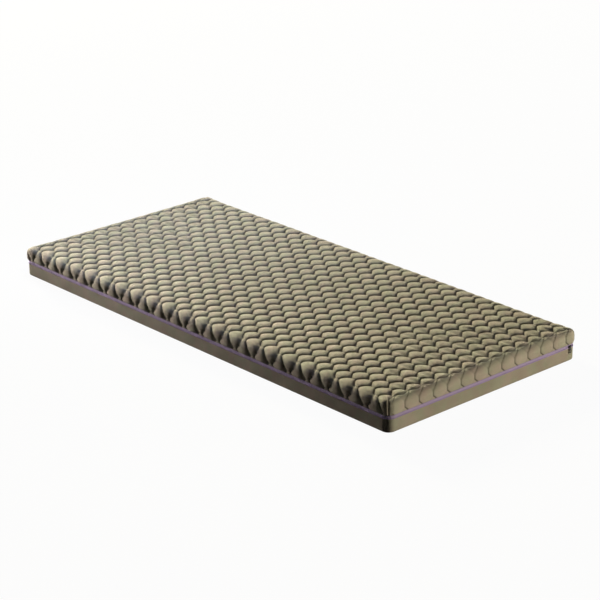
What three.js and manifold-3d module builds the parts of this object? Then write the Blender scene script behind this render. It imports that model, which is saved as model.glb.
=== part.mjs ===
// A thin foam mattress in a two-part cover. The upper half of the cover is thick quilted cloth, stitched in
// columns of pillows and folded over the edges. The lower half is plain cloth. A coil zip joins the halves
// at mid-height, and its slider, with a hanging pull tab, stands at one corner.
// Millimetres, +X along the length, +Z up, origin at the middle of the underside.

import * as THREE from 'three';
import Module from 'manifold-3d';
import { mergeVertices } from 'three/addons/utils/BufferGeometryUtils.js';

const wasm = await Module();
wasm.setup();

// Overall size
const length = 2000;
const width = 900;
const height = 110;
const cornerRadius = 30;
const foldRadius = 26;
const clearance = 0.3;

// Cloth, counted inward from the outer face of the pillows
const quiltTopThickness = 9.5;
const quiltSideThickness = 3.6;
const topStitchDepth = 7.5;
const sideStitchDepth = 2.2;
const plainThickness = 2;
const plainEdgeRadius = 6;
const backingThickness = 0.5;

// Quilting: columns of pillows along the length, and pillows in each column across the width
const pillowColumns = 24;
const pillowRows = 8;
const zigzagShare = 0.25;

// Zip
const zipOpening = 8.4;
const chainWidth = 5;
const chainGap = 1.5;
const coilDepth = 1.8;
const coilBevel = 0.5;
const tapeWidth = 15;
const tapeThickness = 0.5;
const chainEndMargin = 7;
const stopLength = 3;
const stopCover = 0.5;
const tapeEndGap = 1;

// Slider, with its plates across the outward axis and its length along the zip
const sliderLength = 11;
const plateThickness = 1.2;
const plateCorner = 1.8;
const backPlateThickness = 0.9;
const flangeThickness = 1.1;
const postLength = 3;
const postMargin = 0.9;
const loopHeight = 2.9;
const loopBarRadius = 0.8;
const loopLegThickness = 1.4;
const loopLegWidth = 2.6;

// Pull tab
const eyeWall = 1;
const tabLength = 25;
const tabWidth = 8;
const tabNeckWidth = 5;
const tabNeckLength = 6;
const tabThickness = 1.2;
const gripWidth = 3.6;
const gripLength = 10;
const gripMargin = 3.4;

// Steps of the round forms, and how far a cut runs past what it cuts
const cornerSteps = 4;
const foldSteps = 2;
const roundSides = 20;
const curveSteps = 6;
const overrun = 1;

// Colours
function paint(color, roughness, metalness = 0) {
  return new THREE.MeshStandardMaterial({ color, roughness, metalness });
}

const quiltPaint = paint(0xa9a294, 0.95);
const plainPaint = paint(0x8f8a72, 0.95);
const backingPaint = paint(0xe6e4de, 0.95);
const foamPaint = paint(0xe9e2c4, 0.9);
const zipPaint = paint(0x9a88be, 0.6);
const sliderPaint = paint(0x16161a, 0.4, 0.6);

// Values worked out from the sizes
const quarterTurn = Math.PI / 2;
const zipHeight = height / 2;
const foldHeight = height - foldRadius;
const upperHem = zipHeight + zipOpening / 2;
const lowerHem = zipHeight - zipOpening / 2;
const clothInside = quiltSideThickness;
const plainOutside = quiltSideThickness - plainThickness;
const tapeOutside = clothInside + clearance;
const tapeInside = tapeOutside + tapeThickness;
const coilOutside = tapeOutside - clearance - coilDepth;
const plateInside = coilOutside - clearance;
const plateOutside = plateInside - plateThickness;
const backPlateOutside = tapeInside + clearance;
const backPlateInside = backPlateOutside + backPlateThickness;
const coreInset = backPlateInside + clearance;
const quiltUnderside = height - quiltTopThickness;
const backingTop = quiltUnderside - clearance;
const backingUnderside = backingTop - backingThickness;
const coreTop = backingUnderside - clearance;
const coreBottom = plainThickness + clearance;

// A strip between two rows of points with unlike runs
function hemFaces(first, second) {
  const faces = [];
  let [i, j] = [0, 0];
  while (i < first.length - 1 || j < second.length - 1) {
    const nextFirst = i < first.length - 1 ? first[i + 1].run : Infinity;
    const nextSecond = j < second.length - 1 ? second[j + 1].run : Infinity;
    if (nextFirst <= nextSecond) {
      faces.push([first[i].index, first[i + 1].index, second[j].index]);
      i += 1;
    } else {
      faces.push([first[i].index, second[j + 1].index, second[j].index]);
      j += 1;
    }
  }
  return faces;
}

// One closed body from its corners and faces
function body(points, faces) {
  const geometry = new THREE.BufferGeometry();
  const position = points.flatMap((point) => [point.x, point.y, point.z]);
  geometry.setAttribute('position', new THREE.Float32BufferAttribute(position, 3));
  geometry.setIndex(faces.flat());
  geometry.computeVertexNormals();
  return geometry;
}

// Two triangles for a four-cornered face
function quad(a, b, c, d) {
  return [[a, b, c], [a, c, d]];
}

// The four sides in order: front, right end, rear, left end
const sides = [
  { halfRun: length / 2 - cornerRadius, reach: width / 2, turn: 0, lean: 1 },
  { halfRun: width / 2 - cornerRadius, reach: length / 2, turn: quarterTurn, lean: 1 },
  { halfRun: length / 2 - cornerRadius, reach: width / 2, turn: 2 * quarterTurn, lean: -1 },
  { halfRun: width / 2 - cornerRadius, reach: length / 2, turn: 3 * quarterTurn, lean: -1 },
];
const cornerHalfArc = cornerRadius * Math.PI / 4;
const upAxis = new THREE.Vector3(0, 0, 1);

// A point of one side: run along the side and round half of each corner, inset from the outer face
function sidePoint(side, run, inset, z) {
  const past = Math.max(0, Math.abs(run) - side.halfRun) / cornerRadius;
  const radius = cornerRadius - inset;
  const along = Math.min(Math.abs(run), side.halfRun) + radius * Math.sin(past);
  const out = side.reach - cornerRadius + radius * Math.cos(past);
  return new THREE.Vector3(Math.sign(run) * along, -out, z).applyAxisAngle(upAxis, side.turn);
}

// Runs of the stations round half a corner, from the straight side towards the seam in the corner
function cornerRuns(side) {
  const runs = [];
  for (let step = 0; step < cornerSteps / 2; step += 1) {
    runs.push(side.halfRun + cornerHalfArc * step / (cornerSteps / 2));
  }
  return runs;
}

// The run of a corner seam, as the side before it counts
const seamRun = (side) => side.halfRun + cornerHalfArc;

// The outline of the whole block at one inset and height, counter-clockwise from above
function blockLoop(inset, z) {
  return sides.flatMap((side) => {
    const runs = cornerRuns(side);
    return [...runs.map((run) => -run).reverse(), ...runs, seamRun(side)]
      .map((run) => sidePoint(side, run, inset, z));
  });
}

// Skins a row of outlines and closes it with flat caps
function loft(loops) {
  const count = loops[0].length;
  const top = (loops.length - 1) * count;
  const faces = [];
  for (let here = 0; here < top; here += count) {
    for (let i = 0; i < count; i += 1) {
      const next = (i + 1) % count;
      faces.push(...quad(here + i, here + next, here + count + next, here + count + i));
    }
  }
  for (let i = 1; i < count - 1; i += 1) faces.push([0, i + 1, i], [top, top + i, top + i + 1]);
  return body(loops.flat(), faces);
}

// Inset and height of the fold over the top edge, from the side at turn 0 to the top at a quarter turn
function foldProfile(inset, top) {
  const profile = [];
  for (let step = 0; step <= foldSteps; step += 1) {
    const turn = quarterTurn * step / foldSteps;
    const inward = foldRadius - (foldRadius - inset) * Math.cos(turn);
    profile.push([inward, foldHeight + (top - foldHeight) * Math.sin(turn)]);
  }
  return profile;
}

// Inset and height of a rounded lower edge, from the underside to the side
function lowerEdgeProfile(inset, bottom, radius) {
  const profile = [];
  for (let step = 0; step <= foldSteps; step += 1) {
    const turn = quarterTurn * step / foldSteps;
    profile.push([inset + radius - radius * Math.sin(turn), bottom + radius - radius * Math.cos(turn)]);
  }
  return profile;
}

const loopsOf = (profile) => profile.map(([inset, z]) => blockLoop(inset, z));

// The filling block
function foamCore() {
  const lowerRadius = plainEdgeRadius - plainThickness;
  const lower = lowerEdgeProfile(coreInset, coreBottom, lowerRadius);
  return loft(loopsOf([...lower, ...foldProfile(coreInset, coreTop)]));
}

// The cloth under the wadding, which ends above the zip tape
function quiltBacking() {
  const hem = zipHeight + chainGap / 2 + tapeWidth + clearance;
  const inner = foldProfile(tapeInside, backingUnderside).reverse();
  const outer = foldProfile(tapeOutside, backingTop);
  return loft(loopsOf([...inner, [tapeInside, hem], [tapeOutside, hem], ...outer]));
}

// The plain lower half: underside, rounded lower edge and sides up to the zip
function plainCover() {
  const outer = lowerEdgeProfile(plainOutside, 0, plainEdgeRadius);
  const inner = lowerEdgeProfile(clothInside, plainThickness, plainEdgeRadius - plainThickness).reverse();
  return loft(loopsOf([...outer, [plainOutside, lowerHem], [clothInside, lowerHem], ...inner]));
}

// Rows of a flap, from the rim at the top of the fold, down the fold and the side to the hem: the inset and
// height of the outer face at a share of full pillow height, and of the inner face
function flapRows() {
  const rows = [];
  for (let step = foldSteps; step >= 0; step -= 1) {
    const rise = quarterTurn * step / foldSteps;
    const depth = THREE.MathUtils.lerp(sideStitchDepth, topStitchDepth, step / foldSteps);
    const outerRadius = (share) => foldRadius - depth * (1 - share);
    rows.push({
      outer: (share) => [
        foldRadius - outerRadius(share) * Math.cos(rise),
        foldHeight + outerRadius(share) * Math.sin(rise),
      ],
      inner: [
        foldRadius - (foldRadius - clothInside) * Math.cos(rise),
        foldHeight + (quiltUnderside - foldHeight) * Math.sin(rise),
      ],
    });
  }
  rows.push({ outer: () => [plainOutside, upperHem], inner: [clothInside, upperHem] });
  return rows;
}

// Shares of the zigzags' full swing at the rows of a flap: rim, fold, side and hem
const leanShares = [1, 0.25, -0.6, -0.6];

// Shares of full pillow height at the same rows
const sewnShares = [0, 0, 0, 0];
const highPillowShares = [1, 0.85, 0.3, 0];
const lowPillowShares = [0.25, 0.5, 1, 0];
const endHighStitchShares = [0.9, 0, 0.8, 0];
const endLowStitchShares = [0.9, 0.9, 0, 0];
const cornerPillowShares = [0.5, 0.5, 0.5, 0];

// A station of a flap: its place along the side, how far it swings there, and its shares of pillow height;
// a knot is a station that a stitch line of the top panel runs into
const station = (run, shares, swing = 0, knot = true) => ({ run, shares, swing, knot });

// A long side: its zigzag stitches, with the middle of a pillow between each two
function longSideStations(side) {
  const pitch = 2 * (side.halfRun + cornerRadius - foldRadius) / pillowColumns;
  const stations = [];
  for (let line = 1; line < pillowColumns; line += 1) {
    const run = (line - pillowColumns / 2) * pitch;
    const lineOnTop = side.lean > 0 ? line : pillowColumns - line;
    const towards = lineOnTop % 2 === 0 ? side.lean : -side.lean;
    stations.push(station(run, sewnShares, towards * zigzagShare * pitch));
    const shares = towards > 0 ? lowPillowShares : highPillowShares;
    if (line < pillowColumns - 1) stations.push(station(run + pitch / 2, shares, 0, false));
  }
  return stations;
}

// An end: one zigzag runs along its fold, and meets the stations high and low in turn
function endStations(side) {
  const rowStep = (side.halfRun + cornerRadius - foldRadius) / pillowRows;
  const stations = [];
  for (let row = 1 - pillowRows; row < pillowRows; row += 1) {
    const high = (row + pillowRows) % 2 === 0;
    stations.push(station(row * rowStep, high ? endHighStitchShares : endLowStitchShares));
  }
  return stations;
}

// The quilted cloth: one closed body of a top panel and four flaps, folded down and sewn at the corners
function quiltedCover() {
  const rows = flapRows();
  const lastRow = rows.length - 1;
  const points = [];
  const faces = [];
  const add = (point) => points.push(point) - 1;

  // Outer and inner face of one station, as one knot for each row
  const outerStation = (side, { run, shares, swing, knot }) => rows.map(({ outer }, row) => {
    const at = run + swing * leanShares[row];
    return { run: at, share: shares[row], knot, index: add(sidePoint(side, at, ...outer(shares[row]))) };
  });
  const innerStation = (side, run) => rows.map(({ inner }) => (
    { run, index: add(sidePoint(side, run, ...inner)) }
  ));

  // Each corner seam is shared by two flaps, so its run is told for the side that asks
  const outerSeams = sides.map((side) => outerStation(side, station(seamRun(side), sewnShares)));
  const innerSeams = sides.map((side) => innerStation(side, seamRun(side)));
  const before = (seam, side) => seam.map((point) => ({ ...point, run: -seamRun(side) }));
  const flaps = sides.map((side, i) => {
    const runs = cornerRuns(side);
    const corner = (run) => station(run, cornerPillowShares, 0, false);
    const middle = i % 2 === 0 ? longSideStations(side) : endStations(side);
    const stations = [...runs.map((run) => corner(-run)).reverse(), ...middle, ...runs.map(corner)];
    const outer = stations.map((each) => outerStation(side, each));
    const inner = [...runs.map((run) => -run).reverse(), ...runs].map((run) => innerStation(side, run));
    return {
      outer: [before(outerSeams[(i + 3) % 4], side), ...outer, outerSeams[i]],
      inner: [before(innerSeams[(i + 3) % 4], side), ...inner, innerSeams[i]],
    };
  });

  // Faces of the flaps; each outer face is split along its more deeply sewn diagonal
  flaps.forEach(({ outer, inner }) => {
    for (let row = 0; row < lastRow; row += 1) {
      for (let i = 0; i < outer.length - 1; i += 1) {
        const [a, b] = [outer[i][row], outer[i + 1][row]];
        const [d, c] = [outer[i][row + 1], outer[i + 1][row + 1]];
        const corners = a.share + c.share <= b.share + d.share ? [a, d, c, b] : [b, a, d, c];
        faces.push(...quad(...corners.map((point) => point.index)));
      }
      for (let i = 0; i < inner.length - 1; i += 1) {
        const [a, b] = [inner[i][row], inner[i + 1][row]];
        const [d, c] = [inner[i][row + 1], inner[i + 1][row + 1]];
        faces.push(...quad(a.index, b.index, c.index, d.index));
      }
    }
    const hems = [inner, outer].map((stations) => stations.map((each) => each[lastRow]));
    faces.push(...hemFaces(...hems));
  });

  // The rim of the top panel, counter-clockwise, and its knots
  const rim = flaps.flatMap(({ outer }) => outer.slice(0, -1).map((each) => each[0]));
  const knots = rim.filter((point) => point.knot).map((point) => point.index);
  const passed = new Map();
  rim.forEach((point, i) => {
    if (point.knot) passed.set(point.index, []);
    else passed.get([...passed.keys()].pop()).push(point.index);
  });

  // Stitches of the top panel, one zigzag for each boundary between columns, from knot to knot
  const rowCount = 2 * pillowRows;
  const halfLength = length / 2 - foldRadius;
  const halfWidth = width / 2 - foldRadius;
  const pitch = 2 * halfLength / pillowColumns;
  const rowStep = halfWidth / pillowRows;
  const knot = (place) => knots[(place + knots.length) % knots.length];
  const stitches = [];
  for (let line = 0; line <= pillowColumns; line += 1) {
    const stitch = [];
    for (let j = 0; j <= rowCount; j += 1) {
      const towards = (j + line) % 2 === 0 ? 1 : -1;
      const x = -halfLength + line * pitch + towards * zigzagShare * pitch;
      if (j === 0) stitch.push(knot(line));
      else if (j === rowCount) stitch.push(knot(2 * pillowColumns + rowCount - line));
      else if (line === 0) stitch.push(knot(-j));
      else if (line === pillowColumns) stitch.push(knot(pillowColumns + j));
      else stitch.push(add(new THREE.Vector3(x, -halfWidth + j * rowStep, height - topStitchDepth)));
    }
    stitches.push(stitch);
  }

  // Pillows, each a fan round its crown, with the rim's points between its knots
  const nextKnot = new Map(knots.map((index, i) => [index, knot(i + 1)]));
  for (let column = 0; column < pillowColumns; column += 1) {
    const [west, east] = [stitches[column], stitches[column + 1]];
    for (let j = (column + 1) % 2; j <= rowCount; j += 2) {
      const places = [j - 1, j, j + 1].filter((place) => place >= 0 && place <= rowCount);
      const bare = [...places.map((place) => east[place]), ...places.reverse().map((place) => west[place])];
      const middle = new THREE.Vector3();
      bare.forEach((index) => middle.add(points[index]));
      middle.divideScalar(bare.length);
      const crown = add(middle.setZ(height));
      const ring = bare.flatMap((index, i) => {
        const onRim = nextKnot.get(index) === bare[(i + 1) % bare.length];
        return onRim ? [index, ...passed.get(index)] : [index];
      });
      ring.forEach((index, i) => faces.push([crown, index, ring[(i + 1) % ring.length]]));
    }
  }

  // The flat underside of the top panel
  const underside = flaps.flatMap(({ inner }) => inner.slice(0, -1).map((each) => each[0].index));
  for (let i = 1; i < underside.length - 1; i += 1) {
    faces.push([underside[0], underside[i + 1], underside[i]]);
  }
  return body(points, faces);
}

// Stations clockwise once round the block, from a run on the right end to a run on the rear side
function stationsRound(startRun, endRun) {
  const [front, right, rear, left] = sides;
  const stations = [right, front, left, rear].flatMap((side) => {
    const runs = cornerRuns(side);
    return [seamRun(side), ...[...runs].reverse(), ...runs.map((run) => -run)]
      .map((run) => ({ side, run }));
  });
  const kept = stations.filter(({ side, run }) => (
    !(side === right && run >= startRun) && !(side === rear && run <= endRun)
  ));
  return [{ side: right, run: startRun }, ...kept, { side: rear, run: endRun }];
}

// A strip with one section, given as insets and heights, swept along stations
function sweep(stations, section) {
  return loft(stations.map(({ side, run }) => section.map(([inset, z]) => sidePoint(side, run, inset, z))));
}

// A tape: a flat strip behind the two hems, whose ends meet at the rear right corner
function zipTape(low, high) {
  const [, right, rear] = sides;
  const end = (side) => seamRun(side) - tapeEndGap / 2;
  const section = [[tapeOutside, low], [tapeOutside, high], [tapeInside, high], [tapeInside, low]];
  return sweep(stationsRound(end(right), -end(rear)), section);
}

// A coil: a bevelled strand on the outer face of its tape, above or below the slider's path
function zipCoil(sign) {
  const [, right, rear] = sides;
  const [inner, outer] = [chainGap / 2, chainWidth / 2];
  const back = coilOutside + coilDepth;
  const section = [
    [back, inner], [back, outer], [coilOutside + coilBevel, outer],
    [coilOutside, outer - coilBevel], [coilOutside, inner + coilBevel], [coilOutside + coilBevel, inner],
  ].map(([inset, rise]) => [inset, zipHeight + sign * rise]);
  const stations = stationsRound(right.halfRun, -rear.halfRun + chainEndMargin);
  return sweep(stations, sign > 0 ? section.reverse() : section);
}

// A block on the chain line, from its insets, its reach along the side and its heights
function chainBlock(side, [from, to], [outside, inside], [low, high]) {
  const ring = (run) => [[outside, low], [outside, high], [inside, high], [inside, low]]
    .map(([inset, z]) => sidePoint(side, run, inset, z));
  return loft([ring(from), ring(to)]);
}

// Geometry to solid and back, for the pieces that are joined and cut
function toSolid(geometry) {
  const bare = geometry.clone();
  bare.deleteAttribute('normal');
  bare.deleteAttribute('uv');
  const merged = mergeVertices(bare);
  return new wasm.Manifold(new wasm.Mesh({
    numProp: 3,
    vertProperties: new Float32Array(merged.attributes.position.array),
    triVerts: new Uint32Array(merged.index.array),
  }));
}

function toGeometry(solid) {
  const mesh = solid.getMesh();
  const geometry = new THREE.BufferGeometry();
  geometry.setAttribute('position', new THREE.Float32BufferAttribute(mesh.vertProperties, 3));
  geometry.setIndex([...mesh.triVerts]);
  const flat = geometry.toNonIndexed();
  flat.computeVertexNormals();
  return flat;
}

// A box from its lowest to its highest corner, as a solid
function box(low, high) {
  const size = high.map((value, i) => value - low[i]);
  const geometry = new THREE.BoxGeometry(...size);
  geometry.translate(...low.map((value, i) => value + size[i] / 2));
  return toSolid(geometry);
}

// A rod along the zip, centred on the outward distance given
function rod(radius, rodLength, out) {
  const geometry = new THREE.CylinderGeometry(radius, radius, rodLength, roundSides);
  geometry.translate(out, 0, 0);
  return toSolid(geometry);
}

// A plate cut to an outline of the side plane, from one outward distance to another
function plate(shape, from, to) {
  const options = { depth: to - from, bevelEnabled: false, curveSegments: curveSteps };
  const geometry = new THREE.ExtrudeGeometry(shape, options);
  geometry.applyMatrix4(new THREE.Matrix4().makeBasis(
    new THREE.Vector3(0, 1, 0), new THREE.Vector3(0, 0, 1), new THREE.Vector3(1, 0, 0),
  ));
  geometry.translate(from, 0, 0);
  return toSolid(geometry);
}

function roundedPlate(plateLength, plateWidth, radius) {
  const [x, y] = [plateLength / 2, plateWidth / 2];
  const shape = new THREE.Shape();
  shape.moveTo(-x + radius, -y);
  shape.lineTo(x - radius, -y);
  shape.quadraticCurveTo(x, -y, x, -y + radius);
  shape.lineTo(x, y - radius);
  shape.quadraticCurveTo(x, y, x - radius, y);
  shape.lineTo(-x + radius, y);
  shape.quadraticCurveTo(-x, y, -x, y - radius);
  shape.lineTo(-x, -y + radius);
  shape.quadraticCurveTo(-x, -y, -x + radius, -y);
  return shape;
}

const channelHalf = chainWidth / 2 + clearance;
const sliderHalfWidth = channelHalf + flangeThickness;
const barOut = loopHeight - plateOutside;
const eyeInner = loopBarRadius + clearance;
const eyeOuter = eyeInner + eyeWall;
const legOuter = sliderLength / 2 - postMargin;
const legInner = legOuter - loopLegThickness;

// The slider: a front plate with side flanges over the coils, a back plate behind the tapes, the post
// between them that parts the coils, and the loop that carries the tab
function zipSlider() {
  const outline = roundedPlate(sliderLength, 2 * sliderHalfWidth, plateCorner);
  const end = sliderLength / 2;
  const plateMiddle = -plateInside + plateThickness / 2;
  const frontPlate = plate(outline, -plateInside, -plateOutside);
  const backPlate = plate(outline, -backPlateInside, -backPlateOutside);
  const flangeEnd = end - plateCorner;
  const flangeBack = -(tapeOutside - clearance);
  const flanges = [-1, 1].map((sign) => {
    const [near, far] = [sign * channelHalf, sign * sliderHalfWidth];
    return box(
      [flangeBack, -flangeEnd, Math.min(near, far)],
      [plateMiddle, flangeEnd, Math.max(near, far)],
    );
  });
  const postHalf = chainGap / 2 - clearance;
  const post = new THREE.Shape();
  post.moveTo(end - postMargin, 0);
  post.lineTo(end - postMargin - postLength / 2, postHalf);
  post.lineTo(end - postMargin - postLength, 0);
  post.lineTo(end - postMargin - postLength / 2, -postHalf);
  const postBack = -backPlateInside + backPlateThickness / 2;
  const legs = [-1, 1].map((sign) => {
    const [near, far] = [sign * legInner, sign * legOuter];
    return box(
      [plateMiddle, Math.min(near, far), -loopLegWidth / 2],
      [barOut + loopBarRadius, Math.max(near, far), loopLegWidth / 2],
    );
  });
  const bar = rod(loopBarRadius, 2 * legOuter - loopLegThickness, barOut);
  const pieces = [backPlate, plate(post, postBack, plateMiddle), ...flanges, ...legs, bar];
  return pieces.reduce((solid, piece) => solid.add(piece), frontPlate);
}

// The pull tab: an eye rolled round the loop's bar, and a leaf with a grip slot
function zipPullTab() {
  const eyeWidth = 2 * (legInner - clearance);
  const [neck, half] = [tabNeckWidth / 2, tabWidth / 2];
  const neckEnd = -eyeInner - tabNeckLength;
  const leaf = new THREE.Shape();
  leaf.moveTo(-neck, -eyeInner - eyeWall / 2);
  leaf.lineTo(-neck, neckEnd);
  leaf.quadraticCurveTo(-half, neckEnd, -half, neckEnd - half);
  leaf.lineTo(-half, -tabLength + half);
  leaf.absarc(0, -tabLength + half, half, Math.PI, 2 * Math.PI, false);
  leaf.lineTo(half, neckEnd - half);
  leaf.quadraticCurveTo(half, neckEnd, neck, neckEnd);
  leaf.lineTo(neck, -eyeInner - eyeWall / 2);
  const grip = new THREE.Path();
  const gripLow = -tabLength + gripMargin + gripWidth / 2;
  const gripHigh = gripLow + gripLength - gripWidth;
  grip.absarc(0, gripLow, gripWidth / 2, Math.PI, 2 * Math.PI, false);
  grip.absarc(0, gripHigh, gripWidth / 2, 0, Math.PI, false);
  leaf.holes.push(grip);
  const leafSolid = plate(leaf, barOut - tabThickness / 2, barOut + tabThickness / 2);
  const eye = rod(eyeOuter, eyeWidth, barOut);
  const hole = rod(eyeInner, eyeWidth + 2 * overrun, barOut);
  return eye.add(leafSolid).subtract(hole);
}

// The assembly
const mattress = new THREE.Group();
function place(name, geometry, material, parent = mattress) {
  const mesh = new THREE.Mesh(geometry, material);
  mesh.name = name;
  parent.add(mesh);
}

place('foam_core', foamCore(), foamPaint);
place('quilt_backing', quiltBacking(), backingPaint);
place('quilted_cover', quiltedCover(), quiltPaint);
place('plain_cover', plainCover(), plainPaint);

const coilEdge = chainGap / 2;
place('upper_zip_tape', zipTape(zipHeight + coilEdge, zipHeight + coilEdge + tapeWidth), zipPaint);
place('lower_zip_tape', zipTape(zipHeight - coilEdge - tapeWidth, zipHeight - coilEdge), zipPaint);
place('upper_zip_coil', zipCoil(1), zipPaint);
place('lower_zip_coil', zipCoil(-1), zipPaint);

const [, right, rear] = sides;
const stopInsets = [coilOutside - stopCover, tapeOutside - clearance];
const endRun = right.halfRun + clearance;
const coilHeights = [[coilEdge, chainWidth / 2], [-chainWidth / 2, -coilEdge]]
  .map((heights) => heights.map((rise) => zipHeight + rise));
const endRuns = [endRun + stopLength, endRun];
const endStops = coilHeights.map((heights) => chainBlock(right, endRuns, stopInsets, heights));
place('upper_end_stop', endStops[0], sliderPaint);
place('lower_end_stop', endStops[1], sliderPaint);
const startRun = -rear.halfRun + chainEndMargin - clearance;
const startHeights = [zipHeight - chainWidth / 2, zipHeight + chainWidth / 2];
const startStop = chainBlock(rear, [startRun, startRun - stopLength], stopInsets, startHeights);
place('zip_start_stop', startStop, sliderPaint);

const slider = new THREE.Group();
slider.position.set(length / 2, right.halfRun - sliderLength / 2, zipHeight);
mattress.add(slider);
place('zip_slider', toGeometry(zipSlider()), sliderPaint, slider);
place('zip_pull_tab', toGeometry(zipPullTab()), sliderPaint, slider);

export default mattress;
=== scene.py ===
"""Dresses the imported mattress: quilted and plain cover, coil zip, foam, floor, lamps and camera.

Metres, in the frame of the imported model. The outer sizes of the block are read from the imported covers.
"""
import math

import bpy
import numpy as np
from mathutils import Matrix, Vector


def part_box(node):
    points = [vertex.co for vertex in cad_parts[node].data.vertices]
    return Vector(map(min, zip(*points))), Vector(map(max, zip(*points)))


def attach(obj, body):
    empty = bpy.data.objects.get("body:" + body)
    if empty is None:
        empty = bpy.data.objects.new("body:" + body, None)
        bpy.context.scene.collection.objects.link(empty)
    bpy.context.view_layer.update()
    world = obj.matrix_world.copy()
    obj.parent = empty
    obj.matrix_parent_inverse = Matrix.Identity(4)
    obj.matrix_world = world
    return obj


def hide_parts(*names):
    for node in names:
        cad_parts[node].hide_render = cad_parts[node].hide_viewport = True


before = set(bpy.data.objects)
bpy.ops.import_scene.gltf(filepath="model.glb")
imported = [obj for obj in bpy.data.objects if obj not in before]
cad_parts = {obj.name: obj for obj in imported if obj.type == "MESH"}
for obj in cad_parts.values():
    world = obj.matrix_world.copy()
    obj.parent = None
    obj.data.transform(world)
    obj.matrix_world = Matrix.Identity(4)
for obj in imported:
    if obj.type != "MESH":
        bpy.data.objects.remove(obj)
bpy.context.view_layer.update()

SEED = 7
MM = 0.001
TINY = 1e-9

# Sizes of the block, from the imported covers
QUILT_LOW, QUILT_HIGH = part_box("quilted_cover")
PLAIN_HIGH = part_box("plain_cover")[1]
CLOTH_INSET = 1.6 * MM
HALF_X = PLAIN_HIGH.x + CLOTH_INSET
HALF_Y = PLAIN_HIGH.y + CLOTH_INSET
HEIGHT = QUILT_HIGH.z
UPPER_HEM = QUILT_LOW.z
LOWER_HEM = PLAIN_HIGH.z

# Rounding of the block: its corners seen from above, and the fold over its upper edges
CORNER_RADIUS = 30 * MM
FOLD_WIDTH = 38 * MM
FOLD_DROP = 26 * MM

# Layers of the block. An inside, outside or inset is counted in from the block's outer face, an edge is a
# radius, and a top, bottom or hem is a height.
CLOTH_INSIDE = 3.4 * MM
TOP_INSIDE = 9.3 * MM
PLAIN_INSIDE = 3.6 * MM
PLAIN_THICKNESS = 2 * MM
PLAIN_EDGE = 7 * MM
BACKING_OUTSIDE = 3.9 * MM
BACKING_THICKNESS = 0.5 * MM
BACKING_TOP = 100.2 * MM
BACKING_HEM = 71.1 * MM
FOAM_INSET = 5.9 * MM
FOAM_TOP = 99.4 * MM
FOAM_BOTTOM = 2.3 * MM
FOAM_EDGE = 5 * MM

# Quilting, in the flat cloth: pillows six-sided, in columns along Y, alternate columns half a pillow apart.
# Belly and neck are half a pillow's breadth along X, at its middle and at its ends.
COLUMN_STEP = 46.2 * MM
PILLOW_STEP = 64 * MM
COLUMN_AT = 962 * MM
EVEN_PILLOW_AT = -422.5 * MM
BELLY_HALF = 37.6 * MM
NECK_HALF = 8.6 * MM

# Height of the crowns over the stitches, and over the block's outer face, on the top, the ends and the sides
TOP_DEPTH = 11.6 * MM
TOP_PUFF = 2.7 * MM
END_DEPTH = 4.4 * MM
END_PUFF = 1.4 * MM
SIDE_DEPTH = 7.2 * MM
SIDE_PUFF = 4.2 * MM

# Shape of a pillow: a small power gives a flat crown with steep edges. A cross line is a slanting stitch that
# runs across the camera's view, an away line is one that runs away from it, and a neck is the stitch between
# two pillows of one column.
CROSS_POWER = 0.24
AWAY_POWER = 0.42
AWAY_DEPTH_SHARE = 0.82
END_POWER = 0.09
SIDE_POWER = 0.45
NECK_POWER = 0.5
FLAP_NECK_POWER = 0.12
TOP_NECK_SHARE = 0.3
LONG_SIDE_NECK_SHARE = 0.4

# Pillows differ a little in fullness, by a number that the sine hash draws for each of them
FULLNESS_SPREAD = 0.16
FULLNESS_LOSS = 0.1
HASH_COLUMN = 12.9898
HASH_ROW = 78.233
HASH_SCALE = 43758.5453

# Painted shade: a dark line along the stitches of the flaps, where shade falls in the grooves. On the near
# end a cross line is faint above the necks, and an away line is faint below them, following the light's
# direction.
END_SHADE_LINE_WIDTH = 2.4 * MM
SIDE_SHADE_LINE_WIDTH = 2.0 * MM
LINE_FADE = 6 * MM
FAINT_SHADE_LINE_SHARE = 0.15

# The crease along the rim of the two ends, where the last pillows of the top hang over: a shallow dip, with
# CREASE_SHADE of painted shade in it
CREASE_DOWN = 8 * MM
CREASE_WIDTH = 5.5 * MM
CREASE_SWING = 5 * MM
CREASE_SHARE = 0.4
CREASE_SHADE = 0.55

# Calm cloth beside the seam in each corner, and the seam itself
CALM_HEIGHT = 0.9
CALM_GAP = 6 * MM
CALM_GAP_FADE = 16 * MM
CALM_DOWN = 12 * MM
CALM_DOWN_FADE = 20 * MM
SEAM_WIDTH = 5 * MM
SEAM_FADE = 12 * MM

# What share of its drop the fold is drawn up towards the corners, and over what length
CORNER_DRAWN = 0.4
CORNER_LENGTH = 90 * MM

# How far the quilting is drawn over the edges: down the face, and along it
END_PULL = 5 * MM
END_SKEW = -17 * MM
SIDE_PULL = 22 * MM
SIDE_SKEW = 24 * MM

# Rounding of the quilted cloth towards its hem, and slow waves over all of it
HEM_ROUNDING = 9 * MM
QUILT_WAVE = 420 * MM
QUILT_WAVE_DEPTH = 0.5 * MM

# Slack of the plain cloth: long waves, squashed upward, and finer pulls. Both fade out to the floor and hem.
SLACK_WAVE = 150 * MM
SLACK_DEPTH = 0.75 * MM
SLACK_SQUASH = 2.5
PULL_WAVE = 60 * MM
PULL_DEPTH = 0.3 * MM
SLACK_FLOOR_FADE = 12 * MM
SLACK_HEM_FADE = 8 * MM

# Unevenness of the cut foam
FOAM_WAVE = 90 * MM
FOAM_WAVE_DEPTH = 0.1 * MM

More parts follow.
